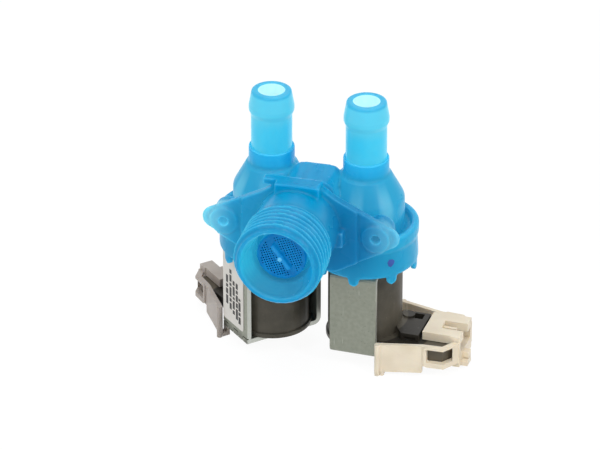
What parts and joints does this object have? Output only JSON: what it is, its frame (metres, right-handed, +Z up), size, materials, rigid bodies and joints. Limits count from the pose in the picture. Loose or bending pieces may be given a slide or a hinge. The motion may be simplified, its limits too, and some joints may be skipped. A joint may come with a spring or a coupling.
{
  "type": "washing machine inlet valve",
  "caption": "Solenoid water inlet valve for a washing machine: threaded hose inlet with screen, panel flange, upright hose spigots and plug-in coils below.",
  "frame": {"origin": "centre of the threaded inlet's mouth", "axes": "+Y along the inlet into the machine, +Z up along the outlets, +X to the right seen from the inlet"},
  "size_m": [0.0906, 0.0785, 0.0852],
  "materials": {
    "body_plastic": "translucent blue, satin moulded",
    "spigot_plastic": "translucent light blue, satin moulded",
    "screen_plastic": "translucent blue mesh",
    "yoke_steel": "plated strip, satin",
    "jacket_plastic": "moulded, fine grain",
    "housing_plastic": "moulded, satin",
    "seal_rubber": "moulded rubber",
    "inner_plastic": "moulded",
    "bobbin_plastic": "moulded",
    "core_steel": "turned",
    "spring_wire": "drawn wire",
    "winding_wire": "enamelled copper wire",
    "blade_metal": "tinned",
    "label_film": "satin film"
  },
  "bodies": {
    "root": {"valve_body": "body_plastic", "inlet_screen": "screen_plastic", "left_spigot": "spigot_plastic", "right_spigot": "spigot_plastic", "left_flow_washer": "seal_rubber", "right_flow_washer": "seal_rubber", "left_diaphragm": "seal_rubber", "right_diaphragm": "seal_rubber", "left_guide_bonnet": "inner_plastic", "right_guide_bonnet": "inner_plastic", "left_plunger_spring": "spring_wire", "right_plunger_spring": "spring_wire", "left_bobbin": "bobbin_plastic", "right_bobbin": "bobbin_plastic", "left_winding": "winding_wire", "right_winding": "winding_wire", "left_coil_jacket": "jacket_plastic", "right_coil_jacket": "jacket_plastic", "left_upper_sleeve": "core_steel", "right_upper_sleeve": "core_steel", "left_lower_sleeve": "core_steel", "right_lower_sleeve": "core_steel", "left_yoke": "yoke_steel", "right_yoke": "yoke_steel", "left_front_terminal": "blade_metal", "right_front_terminal": "blade_metal", "left_rear_terminal": "blade_metal", "right_rear_terminal": "blade_metal", "left_connector_housing": "housing_plastic", "right_connector_housing": "housing_plastic", "coil_label": "label_film"},
    "left_plunger_set": {"left_plunger": "core_steel", "left_plunger_tip": "seal_rubber"},
    "right_plunger_set": {"right_plunger": "core_steel", "right_plunger_tip": "seal_rubber"},
    "left_insert_set": {"left_diaphragm_insert": "inner_plastic"},
    "right_insert_set": {"right_diaphragm_insert": "inner_plastic"}
  },
  "joints": [
    {"name": "left_plunger_slide", "type": "slide", "parent": "root", "child": "left_plunger_set", "axis": [0, 0, -1], "range_m": [0, 0.002], "stiffness_N_per_m": 150, "springref_m": -0.004, "deforming": ["left_plunger_spring"]},
    {"name": "right_plunger_slide", "type": "slide", "parent": "root", "child": "right_plunger_set", "axis": [0, 0, -1], "range_m": [0, 0.002], "stiffness_N_per_m": 150, "springref_m": -0.004, "deforming": ["right_plunger_spring"]},
    {"name": "left_insert_slide", "type": "slide", "parent": "root", "child": "left_insert_set", "axis": [0, 0, -1], "range_m": [0, 0.0015], "deforming": ["left_diaphragm"]},
    {"name": "right_insert_slide", "type": "slide", "parent": "root", "child": "right_insert_set", "axis": [0, 0, -1], "range_m": [0, 0.0015], "deforming": ["right_diaphragm"]}
  ],
  "couplings": [
    {"joint": "left_insert_slide", "follows": "left_plunger_slide", "ratio": 0.75},
    {"joint": "right_insert_slide", "follows": "right_plunger_slide", "ratio": 0.75}
  ]
}
